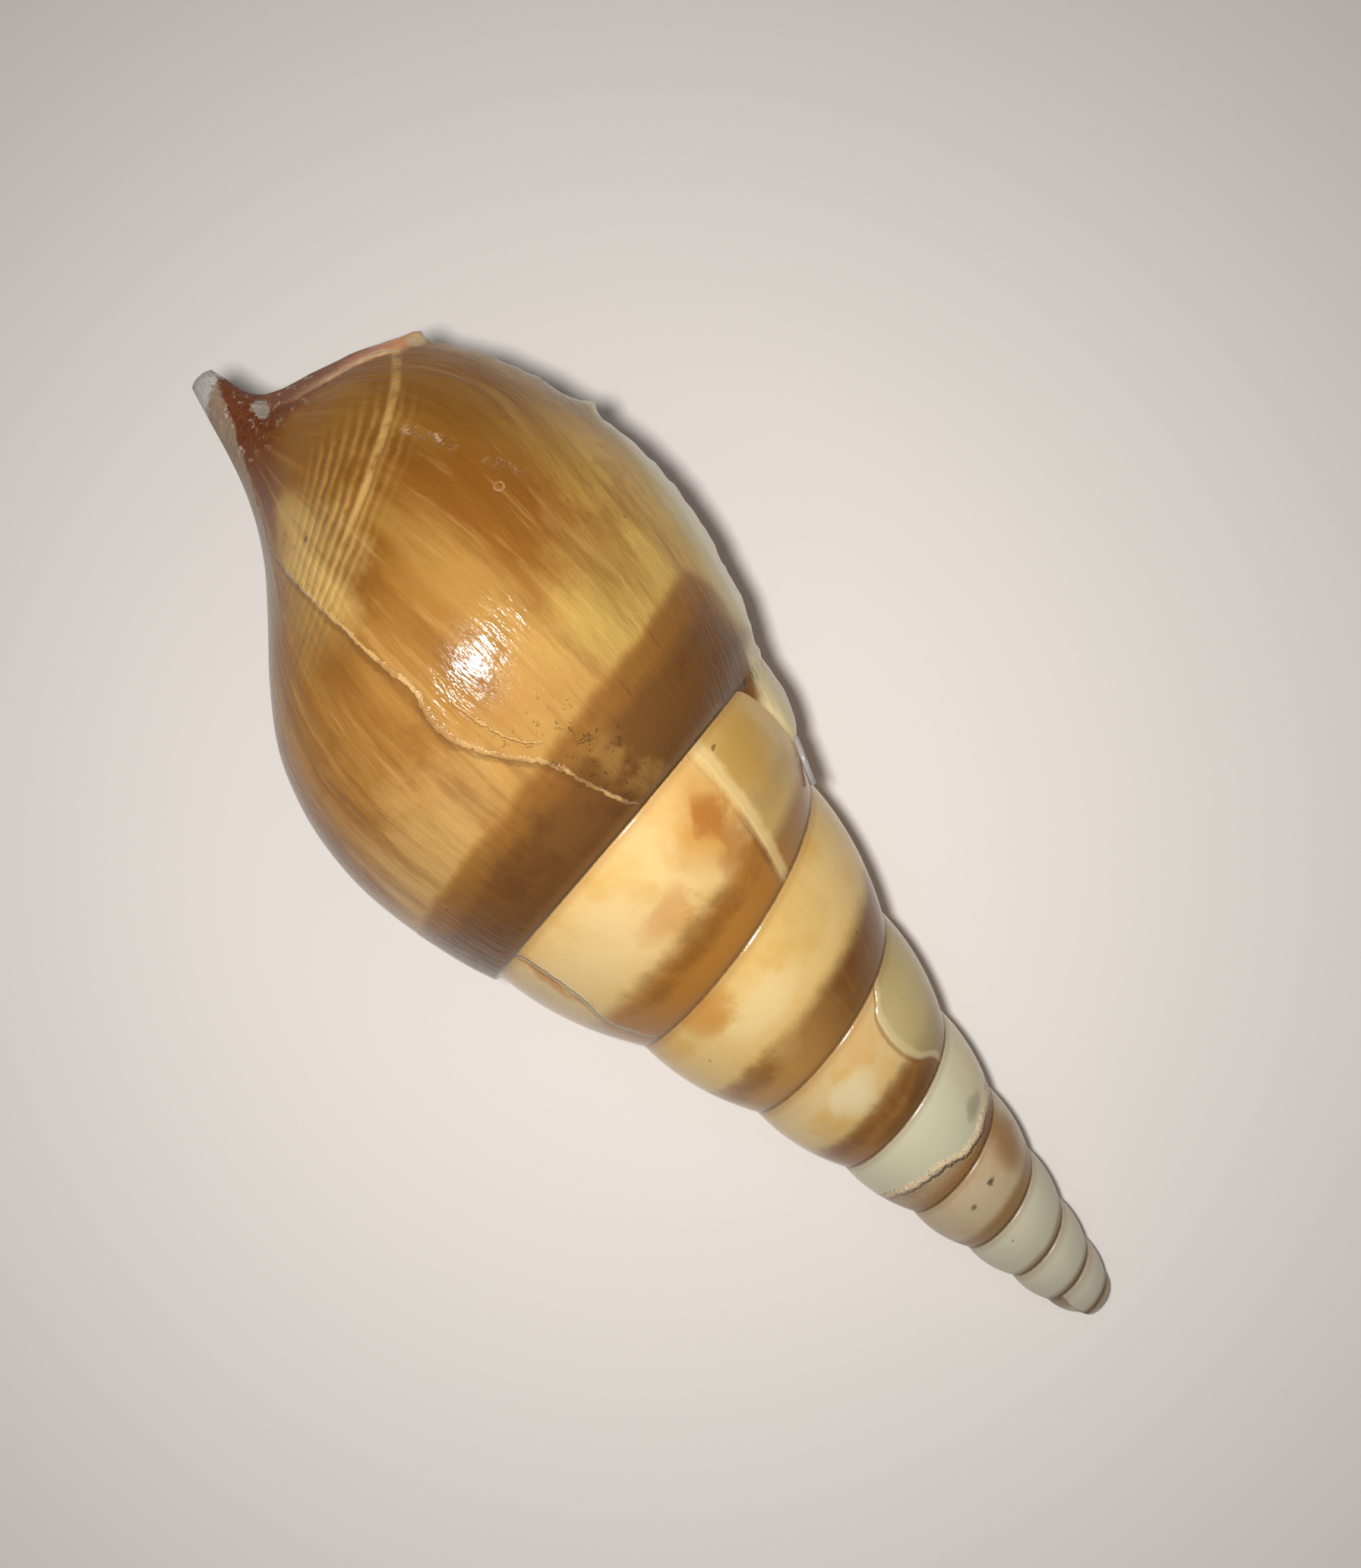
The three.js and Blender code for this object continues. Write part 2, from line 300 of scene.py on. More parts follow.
def growth(age, down):
    """What the shell's colours follow: the age, and the depth below the whorl's own suture."""
    top = top_down(age)
    return age, (down - top) / (suture_down(age - 1) - suture_down(age))


vertices = []
faces = []
face_growth = []
face_reach = []
face_lining = []
made = {}


def vertex(kind, column, row):
    """The number of a vertex, which belongs to a neighbour's grid along each seam."""
    if kind == "whorl" and column >= sides and row == whorl_rows:
        return vertex("whorl", column - sides, 0)
    if kind == "floor" and column == 0:
        return vertex("whorl", sides, row)
    if kind == "roof" and row == 0:
        return vertex("floor", column, whorl_rows + 1)
    if kind == "roof" and row == rows:
        return vertex("floor", column, rows)
    if kind == "edge" and column == 0:
        return vertex("whorl", 0, row)
    if kind == "edge" and column == edge_rows:
        return vertex("roof", 0, row)
    if kind == "edge" and row == 0:
        return vertex("whorl", 0, 0) if column == 0 else vertex("roof", 0, 0)
    if kind == "edge" and row == rows:
        return vertex("whorl", 0, rows)
    key = (kind, column, row)
    if key not in made:
        made[key] = len(vertices)
        age, spot = spot_on(kind, column, row)
        vertices.append(lay(age, spot))
    return made[key]


def spot_on(kind, column, row):
    """Age of a grid corner, and how far down and out it is."""
    age = column_age(column)
    if kind == "whorl":
        if column < sides and row == 0:
            return age, (top_down(age), old_out(age + 1, top_down(age)))
        down, out = outside(age, row_share(age, row))
        if age < 0.2 and row > 0:
            fade = ease(row / 4) * ease((rows - row) / 8)
            out += lip_relief(age, down) * fade
        return age, (down, out)
    if kind == "floor":
        plain = row_share(1 + age, row)
        age = 1 + hollow_turns(plain) * age / column_age(deep)
        return age, old_point(age, row_share(age, row))
    if kind == "roof":
        age = hollow_turns(inner_share(age, row)) * age / column_age(deep)
        return age, inside(age, row)
    outer = spot_on("whorl", 0, row)[1]
    inner = spot_on("roof", 0, row)[1]
    share = column / edge_rows
    swell = 0.9 * math.sin(math.pi * share) * clamp(abs(outer[1] - inner[1]) / 3)
    age = -swell / (2 * math.pi * max(outer[1], 4))
    return age, [between(outer[k], inner[k], share) for k in (0, 1)]


def growth_at(kind, column, row):
    """The growth pair of a grid corner."""
    if kind == "edge":
        return -0.02 * column / edge_rows, growth(0, spot_on("whorl", 0, row)[1][0])[1]
    age, spot = spot_on(kind, column, row)
    return growth(age, spot[0])


def reach_at(kind, column, row):
    """Millimetres round the whorl from the lip, and down the axis."""
    age, (down, out) = spot_on(kind, column, row)
    return age * 2 * math.pi * out, down


def add_face(corners, lining=False):
    """A face, from (kind, column, row) corners; corners that meet are dropped."""
    numbers = [vertex(*corner) for corner in corners]
    kept = [k for k in range(len(numbers)) if numbers[k] != numbers[k - 1]]
    if len(kept) < 3:
        return
    faces.append([numbers[k] for k in kept])
    face_growth.append([growth_at(*corners[k]) for k in kept])
    face_reach.append([reach_at(*corners[k]) for k in kept])
    face_lining.append(lining)


def add_square(kind, column, row, lining=False):
    add_face([(kind, column, row), (kind, column, row + 1), (kind, column + 1, row + 1),
              (kind, column + 1, row)], lining)


def add_back_square(kind, column, row, lining=False):
    add_face([(kind, column, row), (kind, column + 1, row), (kind, column + 1, row + 1),
              (kind, column, row + 1)], lining)


for column in range(columns):
    for row in range(rows if column < sides else whorl_rows):
        add_square("whorl", column, row)
for column in range(deep):
    for row in range(whorl_rows + 1, rows):
        add_square("floor", column, row, lining=True)
    for row in range(rows):
        add_back_square("roof", column, row, lining=True)
for column in range(edge_rows):
    for row in range(rows):
        add_back_square("edge", column, row)

# The far end of the hollow, the broken end of the beak and the worn apex are closed
roof_end = [("roof", deep, row) for row in range(rows + 1)]
floor_end = [("floor", deep, row) for row in range(whorl_rows + 1, rows + 1)]
last_roof, last_floor = len(roof_end) - 1, len(floor_end) - 1
p = q = 0
while p < last_roof or q < last_floor:
    roof_is_behind = p < last_roof and (p + 1) / last_roof <= (q + 1) / last_floor
    if q == last_floor or roof_is_behind:
        add_face([roof_end[p], floor_end[q], roof_end[p + 1]], lining=True)
        p += 1
    else:
        add_face([roof_end[p], floor_end[q], floor_end[q + 1]], lining=True)
        q += 1


def add_cap(ring, centre_down, centre_growth, rings, backwards=False):
    """A dome over a closed ring of (kind, column, row) corners."""
    def growth_there(corner, share):
        rim = growth_at(*corner)
        return [between(rim[k], centre_growth[k], share) for k in (0, 1)]

    before = [vertex(*corner) for corner in ring]
    spots = [spot_on(*corner) for corner in ring]
    for level in range(1, rings + 1):
        turn = math.pi / 2 * level / rings
        after = []
        for age, (down, out) in spots:
            if level < rings or not after:
                raised = between(down, centre_down, math.sin(turn))
                vertices.append(lay(age, (raised, out * math.cos(turn))))
            after.append(len(vertices) - 1)
        for k in range(len(ring)):
            n = (k + 1) % len(ring)
            corners = [before[k], before[n], after[n], after[k]]
            start, end = (level - 1) / rings, level / rings
            growths = [growth_there(ring[k], start), growth_there(ring[n], start),
                       growth_there(ring[n], end), growth_there(ring[k], end)]
            reaches = [reach_at(*ring[corner]) for corner in (k, n, n, k)]
            kept = [c for c in range(4) if corners[c] != corners[c - 1]]
            if len(kept) < 3:
                continue
            if backwards:
                kept.reverse()
            faces.append([corners[c] for c in kept])
            face_growth.append([growths[c] for c in kept])
            face_reach.append([reaches[c] for c in kept])
            face_lining.append(False)
        before = after


beak_ring = [("whorl", column, rows) for column in range(sides)]
apex_ring = [("whorl", columns - sides + k, 0) for k in range(sides + 1)]
apex_ring += [("whorl", columns, row) for row in range(1, whorl_rows)]
add_cap(beak_ring, length + 0.3, (0.3, 2.5), 2, backwards=True)
add_cap(apex_ring, -0.15, (turns, 0.6), 8)


def keep_on_corners(name, face_pairs):
    """A pair of values at each corner of each face, under a name that the colours read."""
    kept_map = mesh.uv_layers.new(name=name)
    flat = [value for corners in face_pairs for pair in corners for value in pair]
    kept_map.data.foreach_set("uv", flat)


mesh = bpy.data.meshes.new("tibia_shell")
mesh.from_pydata(vertices, [], faces)
keep_on_corners("growth", face_growth)
keep_on_corners("reach", face_reach)
mesh.polygons.foreach_set("use_smooth", [True] * len(faces))
mesh.polygons.foreach_set("material_index", [int(lining) for lining in face_lining])
mesh.update()

shell = bpy.data.objects.new("tibia_shell", mesh)
bpy.context.scene.collection.objects.link(shell)

# The shell stands where the solid is: its apex, the side away from the lip and its base in line
low = [min(v.co[k] for v in mesh.vertices) for k in range(3)]
high = [max(v.co[k] for v in mesh.vertices) for k in range(3)]
solid_low, solid_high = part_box("shell")
held = (high[0], low[1], low[2])
solid_held = (solid_high[0], solid_low[1], solid_low[2])
fit = [min(1, (solid_high[k] - solid_low[k]) / (high[k] - low[k])) for k in range(3)]
for v in mesh.vertices:
    v.co = [solid_held[k] + (v.co[k] - held[k]) * fit[k] for k in range(3)]
mesh.update()
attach(shell, "root")
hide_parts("shell")

# ---- The shell: colours of the outside ----
# Thin glossy glaze of shell over cream: a brown band lies beside each suture, growth lines follow
# the lip, fine cords run round the base, and healed breaks cross the whorls.


class Glaze:
    """A value in the shell's colouring that sums in Python act on."""

    tree = None

    def __init__(self, socket):
        self.socket = socket

    @classmethod
    def node(cls, kind, settings, values, output=0):
        """Any node: its kind, its settings, and what goes into its sockets."""
        made_node = cls.tree.nodes.new(kind)
        for name, value in settings.items():
            setattr(made_node, name, value)
        for name, value in values.items():
            if isinstance(value, Glaze):
                cls.tree.links.new(value.socket, made_node.inputs[name])
            else:
                made_node.inputs[name].default_value = value
        return cls(made_node.outputs[output])

    def sum(self, operation, other=0.0):
        return self.node("ShaderNodeMath", {"operation": operation}, {0: self, 1: other})

    def __add__(self, other):
        return self.sum("ADD", other)

    def __sub__(self, other):
        return self.sum("SUBTRACT", other)

    def __mul__(self, other):
        return self.sum("MULTIPLY", other)

    def __truediv__(self, other):
        return self.sum("DIVIDE", other)

    def __rsub__(self, other):
        return self.node("ShaderNodeMath", {"operation": "SUBTRACT"}, {0: other, 1: self})

    def __abs__(self):
        return self.sum("ABSOLUTE")

    __radd__ = __add__
    __rmul__ = __mul__

    def least(self, other):
        return self.sum("MINIMUM", other)

    def most(self, other):
        return self.sum("MAXIMUM", other)

    def wave(self):
        return self.sum("SINE")

    def rise(self, low_end, high_end):
        """0 below one value and 1 above the other, smooth between."""
        settings = {"interpolation_type": "SMOOTHSTEP"}
        return self.node("ShaderNodeMapRange", settings, {0: self, 1: low_end, 2: high_end})

    def fall(self, low_end, high_end):
        return 1.0 - self.rise(low_end, high_end)

    def near(self, middle, reach):
        return abs(self - middle).fall(reach * 0.3, reach)

    def curve(self, points):
        """A smooth curve through a few points, for where a healed break runs."""
        low_x, low_y = (min(point[k] for point in points) for k in (0, 1))
        wide, tall = (max(p[0] for p in points) - low_x, max(p[1] for p in points) - low_y)
        found = self.node("ShaderNodeFloatCurve", {}, {"Value": (self - low_x) / wide})
        line = found.socket.node.mapping.curves[0]
        scaled = [((x - low_x) / wide, (y - low_y) / tall) for x, y in points]
        line.points[0].location, line.points[1].location = scaled[0], scaled[-1]
        for point in scaled[1:-1]:
            line.points.new(*point)
        found.socket.node.mapping.update()
        return found * tall + low_y


def paint(red, green, blue):
    """A colour from 0 to 255 as it looks, in the linear form that the shader takes."""
    looks = [value / 255 for value in (red, green, blue)]
    return [x / 12.92 if x <= 0.04045 else ((x + 0.055) / 1.055) ** 2.4 for x in looks] + [1.0]


def over(under, upper, cover):
    """One colour laid over another, where the cover is 1."""
    return Glaze.node("ShaderNodeMix", {"data_type": "RGBA"}, {0: cover, 6: under, 7: upper}, 2)


def stained(under, *stains):
    """A colour with others laid over it in turn, each where its cover is 1."""
    for colour, cover in stains:
        under = over(under, paint(*colour), cover)
    return under


def shades(value, stops):
    """Colours that change along a value from 0 to 1."""
    found = Glaze.node("ShaderNodeValToRGB", {}, {0: value})
    ramp = found.socket.node.color_ramp
    while len(ramp.elements) < len(stops):
        ramp.elements.new(0.5)
    for element, (at, colour) in zip(ramp.elements, stops):
        element.position = at
    for element, (at, colour) in zip(ramp.elements, stops):
        element.color = paint(*colour)
    return found


def mottle(across, along, deep_in, scale=1.0, detail=3.0, roughness=0.55):
    """Cloudy noise from 0 to 1, with its own coordinate along each way."""
    where = Glaze.node("ShaderNodeCombineXYZ", {}, {0: across, 1: along, 2: deep_in})
    values = {"Vector": where, "Scale": scale, "Detail": detail, "Roughness": roughness}
    return Glaze.node("ShaderNodeTexNoise", {}, values)


def new_glaze(name):
    """A material whose nodes come next, and its skin, the shader that they feed."""
    material = bpy.data.materials.new(name)
    material.use_nodes = True
    Glaze.tree = material.node_tree
    return material, material.node_tree.nodes["Principled BSDF"]


glaze, skin = new_glaze("brown_and_cream_shell")
growth_uv = Glaze.node("ShaderNodeUVMap", {"uv_map": "growth"}, {})
age = Glaze.node("ShaderNodeSeparateXYZ", {}, {0: growth_uv}, 0)
below = Glaze.node("ShaderNodeSeparateXYZ", {}, {0: growth_uv}, 1)
reach_uv = Glaze.node("ShaderNodeUVMap", {"uv_map": "reach"}, {})
from_lip = Glaze.node("ShaderNodeSeparateXYZ", {}, {0: reach_uv}, 0)
down_axis = Glaze.node("ShaderNodeSeparateXYZ", {}, {0: reach_uv}, 1)
spot_there = Glaze.node("ShaderNodeTexCoord", {}, {}, 3)
east = Glaze.node("ShaderNodeSeparateXYZ", {}, {0: spot_there}, 0) * 1000
north = Glaze.node("ShaderNodeSeparateXYZ", {}, {0: spot_there}, 1) * 1000
height_up = Glaze.node("ShaderNodeSeparateXYZ", {}, {0: spot_there}, 2) * 1000

cloud = mottle(east, north, height_up, 0.06, 4)
fine_cloud = mottle(east, north, height_up, 0.35, 5, 0.6)
grain = mottle(east, north, height_up, 1.6, 3)
# Growth lines are long down the axis and narrow round the whorl
line_age = age + down_axis.rise(104.0, 131.0) * age.fall(0.06, 0.20) * 0.05
streaks = mottle(line_age * 42, down_axis * 0.045, 0.0, 1.0, 4, 0.6)
broad_streaks = mottle(line_age * 24, down_axis * 0.025, 14.0, 1.0, 3, 0.5)
narrow_streaks = mottle(line_age * 110, down_axis * 0.06, 8.0, 1.0, 4, 0.6)
fine_lines = mottle(line_age * 230, down_axis * 0.28, 3.0, 1.0, 3, 0.65)
blotches = mottle(east, north, height_up, 0.16, 4, 0.6)
chips = mottle(east, north, height_up, 0.9, 5, 0.75)
depth = below + (cloud - 0.5) * 0.06 + (streaks - 0.5) * 0.10 + (narrow_streaks - 0.5) * 0.04
body_age = age + (fine_cloud - 0.5) * 0.03 + (blotches - 0.5) * 0.05
blot_below = below + (blotches - 0.5) * 0.35 + (fine_cloud - 0.5) * 0.12

# The last whorl: gold, brown and cream from its suture to the base
body = shades(depth / 2.5, [
    (0.0, (90, 58, 30)), (0.02, (104, 68, 33)), (0.112, (113, 74, 35)), (0.138, (136, 91, 42)),
    (0.166, (142, 96, 43)), (0.188, (178, 132, 68)), (0.28, (170, 122, 60)), (0.40, (143, 95, 34)),
    (0.56, (134, 85, 23)), (0.66, (146, 97, 32)), (0.78, (146, 97, 38)), (0.84, (118, 66, 29)),
    (1.0, (104, 62, 38))])


def patch(middle_age, middle_below, ages, belows):
    """A soft blot on a whorl, 1 at its middle."""
    across = ((body_age - middle_age) / ages).sum("POWER", 2.0)
    along = ((blot_below - middle_below) / belows).sum("POWER", 2.0)
    return (across + along).fall(0.0, 1.5)


beyond_band = depth.rise(0.43, 0.47)
beside_lip = age.fall(0.05, 0.13) * depth.rise(0.44, 0.5) * below.fall(0.8, 1.7)
body = stained(
    body,
    ((204, 170, 90), patch(0.125, 0.62, 0.055, 0.26) * beyond_band * 0.7),
    ((206, 160, 92), patch(0.21, 0.62, 0.05, 0.22) * beyond_band * 0.35),
    ((212, 172, 106), patch(0.335, 0.66, 0.09, 0.25) * beyond_band * (0.35 + streaks * 0.7)),
    ((180, 130, 64), patch(0.225, 1.0, 0.055, 0.45) * 0.5),
    ((140, 88, 31), patch(0.15, 1.25, 0.04, 0.5) * 0.65),
    ((146, 93, 36), patch(0.115, 1.0, 0.018, 0.6) * 0.5),
    ((170, 120, 60), patch(0.32, 1.05, 0.08, 0.6) * 0.5),
    ((186, 134, 70), patch(0.35, 1.15, 0.04, 0.4) * fine_cloud * 0.8),
    ((222, 184, 106), beside_lip * 0.75),
    # Painted highlight: a pale gold patch on the cords at the top of the base
    ((224, 186, 110), patch(0.255, 1.68, 0.05, 0.30) * 0.75),
    ((194, 154, 72), patch(0.085, 0.77, 0.03, 0.30) * 0.45))

# Streaks along the growth lines
streak_dark = streaks.rise(0.5, 0.72) * below.rise(0.1, 0.5)
streak_light = streaks.fall(0.28, 0.48) * below.rise(0.35, 0.6)
broad_dark = broad_streaks.rise(0.50, 0.66) * below.rise(0.45, 0.7) * below.fall(1.5, 1.9)
broad_light = broad_streaks.fall(0.34, 0.46) * below.rise(0.5, 0.8)
body = stained(
    body,
    ((126, 76, 28), streak_dark * 0.55),
    ((200, 152, 80), streak_light * 0.28),
    ((122, 74, 28), narrow_streaks.rise(0.52, 0.70) * below.rise(0.1, 0.4) * 0.34),
    ((122, 74, 20), broad_dark * 0.5),
    ((204, 160, 84), broad_light * 0.32),
    ((216, 172, 104), narrow_streaks.fall(0.30, 0.46) * below.rise(0.3, 0.6) * 0.26),
    ((120, 74, 30), fine_lines.rise(0.55, 0.8) * 0.22),
    ((130, 80, 32), blotches.rise(0.52, 0.66) * below.rise(0.6, 0.9) * 0.35),
    ((84, 50, 26), blotches.rise(0.48, 0.62) * below.fall(0.3, 0.42) * 0.4))

# Spiral cords round the base, which draw in towards the beak, and one pale ray among them
cord_place = down_axis + age * 60.0 + (fine_cloud - 0.5) * 0.5
cord_wave = (cord_place * 6.3 + (blotches - 0.5) * 7).wave()
cord_zone = cord_place.rise(131.0, 135.0) * cord_place.fall(138.0, 143.0)
cord_zone = cord_zone * age.rise(0.05, 0.19) * age.fall(0.24, 0.33) * down_axis.fall(127.0, 133.0)
ray = cord_place.near(134.6, 0.55) * age.fall(0.18, 0.25)
body = stained(
    body,
    ((214, 168, 98), cord_wave.rise(-0.4, 1.0) * cord_zone * blotches.rise(0.25, 0.7) * 0.65),
    ((118, 72, 28), cord_wave.fall(-1.0, -0.2) * cord_zone * 0.3),
    ((210, 166, 98), ray * fine_cloud.rise(0.3, 0.6) * 0.75))

# The older whorls: cream with a band beside each suture
whorl_colours = age / 9
ground = shades(whorl_colours, [
    (0.10, (226, 188, 122)), (0.20, (226, 190, 122)), (0.245, (222, 184, 112)),
    (0.30, (220, 186, 120)), (0.345, (214, 184, 128)), (0.42, (212, 186, 134)),
    (0.452, (214, 208, 176)), (0.53, (208, 200, 170)), (0.57, (200, 176, 140)),
    (0.645, (194, 176, 146)), (0.68, (208, 200, 172)), (1.0, (202, 194, 172))])
band = shades(whorl_colours, [
    (0.10, (178, 120, 50)), (0.18, (168, 112, 46)), (0.241, (122, 82, 40)), (0.253, (186, 136, 72)),
    (0.345, (160, 110, 57)), (0.40, (150, 102, 54)), (0.455, (146, 110, 68)),
    (0.52, (160, 124, 80)), (0.57, (156, 120, 74)), (0.65, (158, 128, 84)), (0.70, (160, 142, 110)),
    (1.0, (156, 142, 114))])
# Each band's width is a grey on a ramp, with 255 for nearly all of the whorl. The power takes the
# grey back from the linear form that paint() gives it.
band_greys = [
    (0.10, 95), (0.15, 96), (0.24, 104), (0.345, 100), (0.40, 96), (0.46, 40), (0.52, 60),
    (0.58, 82), (0.65, 78), (0.69, 40), (1.0, 36)]
band_ramp = shades(whorl_colours, [(at, (grey, grey, grey)) for at, grey in band_greys])
band_level = Glaze.node("ShaderNodeSeparateColor", {}, {0: band_ramp}, 0)
band_width = band_level.sum("POWER", 0.4545) * 0.95
spire_depth = below + (fine_cloud - 0.5) * 0.07 + (cloud - 0.5) * 0.10
band_cover = (spire_depth + (blotches - 0.5) * 0.10 - band_width).fall(-0.11, 0.05)
band_core = (below / band_width + (fine_cloud - 0.5) * 0.5).near(0.78, 0.42) * age.fall(3.4, 3.6)
golden_whorls = age.fall(3.9, 4.2)
ground = stained(
    ground,
    ((240, 206, 146), below.near(0.66, 0.3) * cloud * golden_whorls * 0.7),
    ((214, 166, 84), blotches.rise(0.46, 0.66) * golden_whorls * 0.6),
    ((196, 148, 96), fine_cloud.rise(0.5, 0.68) * age.near(5.35, 0.6) * 0.35),
    ((218, 166, 98), below.rise(0.86, 1.0) * age.fall(3.9, 4.1) * 0.35))
spire = stained(
    over(ground, band, band_cover),
    ((116, 70, 27), band_core * blotches.rise(0.36, 0.60) * 0.55),
    ((176, 130, 74), band_cover * narrow_streaks.fall(0.36, 0.5) * 0.12))

# Stains on single whorls, from the second to the sixth
spire = stained(
    spire,
    ((204, 142, 58), patch(1.178, 0.70, 0.035, 0.30) * 0.75),
    ((172, 104, 40), patch(1.172, 0.66, 0.016, 0.14) * 0.75),
    ((172, 108, 44), patch(1.168, 0.42, 0.022, 0.16) * 0.7),
    ((238, 200, 134), patch(1.215, 0.92, 0.05, 0.2) * 0.4),
    ((190, 122, 54), patch(1.245, 0.50, 0.03, 0.12) * 0.5),
    ((150, 112, 60), patch(1.10, 0.25, 0.05, 0.3) * 0.6),
    ((206, 158, 72), patch(1.11, 0.74, 0.035, 0.30) * 0.9),
    ((226, 196, 138), patch(1.30, 0.66, 0.05, 0.3) * 0.7),
    ((188, 128, 60), patch(1.362, 0.72, 0.012, 0.25) * 0.8),
    ((206, 182, 146), patch(1.40, 0.6, 0.035, 0.5) * 0.6),
    ((196, 134, 56), patch(2.295, 0.88, 0.035, 0.16) * 0.75),
    ((232, 206, 146), patch(2.25, 0.62, 0.05, 0.14) * 0.7),
    ((210, 172, 100), patch(2.16, 0.75, 0.04, 0.25) * 0.5),
    ((220, 168, 104), patch(3.20, 0.84, 0.04, 0.18) * 0.5),
    ((150, 104, 52), patch(5.10, 0.70, 0.06, 0.45) * 0.8),
    ((232, 214, 170), patch(3.26, 0.6, 0.04, 0.2) * 0.6),
    ((92, 58, 28), patch(3.20, 0.05, 0.10, 0.16) * 0.7),
    ((134, 116, 82), patch(4.13, 0.42, 0.03, 0.12) * 0.5),
    ((196, 152, 94), patch(2.27, 0.28, 0.03, 0.10) * 0.5),
    ((66, 44, 28), patch(5.198, 0.64, 0.010, 0.05) * 0.8),
    ((84, 60, 40), patch(5.263, 0.59, 0.009, 0.04) * 0.7))

# Healed breaks, each with how far a spot is from it in millimetres
ragged = (fine_cloud - 0.5) * 1.4 + (grain - 0.5) * 0.8
main_line = below.curve([
    (0.0, 0.200), (0.09, 0.211), (0.28, 0.22), (0.41, 0.226), (0.51, 0.235), (0.68, 0.249),
    (0.84, 0.256), (1.04, 0.252), (1.28, 0.257), (1.45, 0.261), (1.84, 0.286), (2.14, 0.331)])
main_break = (age - main_line) * 158.0 + ragged * 0.8
whorl_break = (age - 1.149) * 128.0 + ragged * 0.25
low_line = below.curve([(0.0, 1.366), (0.2, 1.378), (0.67, 1.357), (1.0, 1.374)])
low_break = (age - low_line) * 130.0 + ragged * 0.5
flake_line = below.curve([
    (0.0, 3.118), (0.08, 3.123), (0.33, 3.159), (0.57, 3.169), (0.80, 3.164), (0.92, 3.145),
    (1.0, 3.13)])
flake_edge = (age - flake_line) * 79.0 + ragged * 0.15
ridge_line = age.curve([
    (4.0, 0.12), (4.072, 0.19), (4.149, 0.17), (4.19, 0.20), (4.235, 0.32), (4.307, 0.41),
    (4.381, 0.46), (4.5, 0.40)])
ridge = (below - ridge_line) * 10.3 + ragged * 1.0
on_body = age.fall(0.45, 0.55) * below.rise(0.0, 0.04)
on_second = age.rise(1.0, 1.02) * age.fall(1.6, 1.7)
on_fourth = age.rise(3.0, 3.02) * age.fall(3.4, 3.5)
on_fifth = age.rise(4.0, 4.03) * age.fall(4.45, 4.55)

# On the last whorl: browner shell behind the main break, and a second break beside it
behind_main = main_break.rise(0.0, 0.6) * main_break.fall(3.0, 10.0)
behind_main = behind_main * below.rise(1.15, 1.35) * below.fall(1.8, 2.0)
pale_edge = main_break.near(0.0, 0.3) * (0.25 + fine_cloud.rise(0.42, 0.6) * 0.55)
scaly = (main_break + 3.2).near(0.0, 3.0) * below.fall(0.30, 0.42)
second_break = (main_break + 1.9 + (cloud - 0.5) * 5).near(0.0, 0.25)
second_break = second_break * below.rise(0.45, 0.55) * below.fall(0.95, 1.05)
outer = stained(
    over(body, spire, age.rise(0.62, 0.98)),
    ((134, 88, 40), behind_main * on_body * 0.5),
    # Painted shadow: a dark line along the foot of the main break's raised step
    ((108, 68, 34), main_break.near(0.4, 0.55) * on_body * 0.45),
    ((222, 180, 118), pale_edge * on_body),
    ((196, 150, 80), scaly * on_body * fine_cloud.rise(0.4, 0.65) * 0.28),
    ((222, 176, 112), second_break * on_body * 0.45))

# On the second whorl: greyed shell before a break, and a break low on its side
greyed = whorl_break.fall(-0.3, 0.2) * whorl_break.rise(-14.0, -10.0) * on_second
whorl_edge = (whorl_break + (fine_cloud - 0.5) * 1.6).near(-0.6, 1.3)
outer = stained(
    outer,
    ((176, 140, 78), greyed * below.rise(0.18, 0.34) * 0.42),
    ((226, 190, 116), greyed * below.fall(0.30, 0.48) * below.rise(0.16, 0.3) * 0.55),
    ((240, 210, 146), whorl_edge * on_second * 0.6),
    ((112, 70, 34), whorl_break.near(0.4, 0.6) * on_second * below.fall(0.4, 0.6) * 0.35),
    ((240, 222, 176), low_break.near(0.0, 0.4) * on_second * 0.8),
    ((140, 96, 52), low_break.near(0.55, 0.45) * on_second * 0.5))

# On the fourth whorl: a flake gone, and on the fifth a rough healed ridge
past_flake = flake_edge.fall(-0.2, 0.1) * on_fourth
scab = ridge.fall(-0.1, 0.3) * on_fifth
outer = stained(
    outer,
    ((184, 164, 112), past_flake * 0.85),
    ((206, 182, 126), past_flake * below.near(0.6, 0.35) * 0.6),
    ((150, 120, 78), past_flake * below.fall(0.12, 0.3) * 0.5),
    ((228, 208, 158), flake_edge.near(-0.35, 0.8) * on_fourth * 0.5),
    ((130, 86, 44), flake_edge.near(0.35, 0.4) * on_fourth * 0.5),
    ((170, 122, 70), scab * (0.35 + fine_cloud * 0.7)),
    ((128, 92, 52), scab * age.fall(4.12, 4.2) * 0.6),
    ((240, 210, 166), ridge.near(0.0, 0.95) * on_fifth * 0.85))

# The suture: a fine brown line, with a softer brown round it that is painted shade in its crease
next_suture = abs(1.0 - below) + age.fall(0.97, 1.0) * 9.0
suture_gap = abs(below).least(next_suture) + age.fall(0.09, 0.11)
suture_mm = suture_gap * (20.0 - age.least(8.0) * 2.0)
crimped_mm = suture_mm + (grain - 0.5) * 0.25
outer = stained(
    outer,
    # Painted shade: a soft brown band in the crease along the suture
    ((150, 108, 62), crimped_mm.fall(0.3, 1.3) * 0.35),
    ((104, 72, 44), crimped_mm.fall(0.02, 0.24) * 0.7))

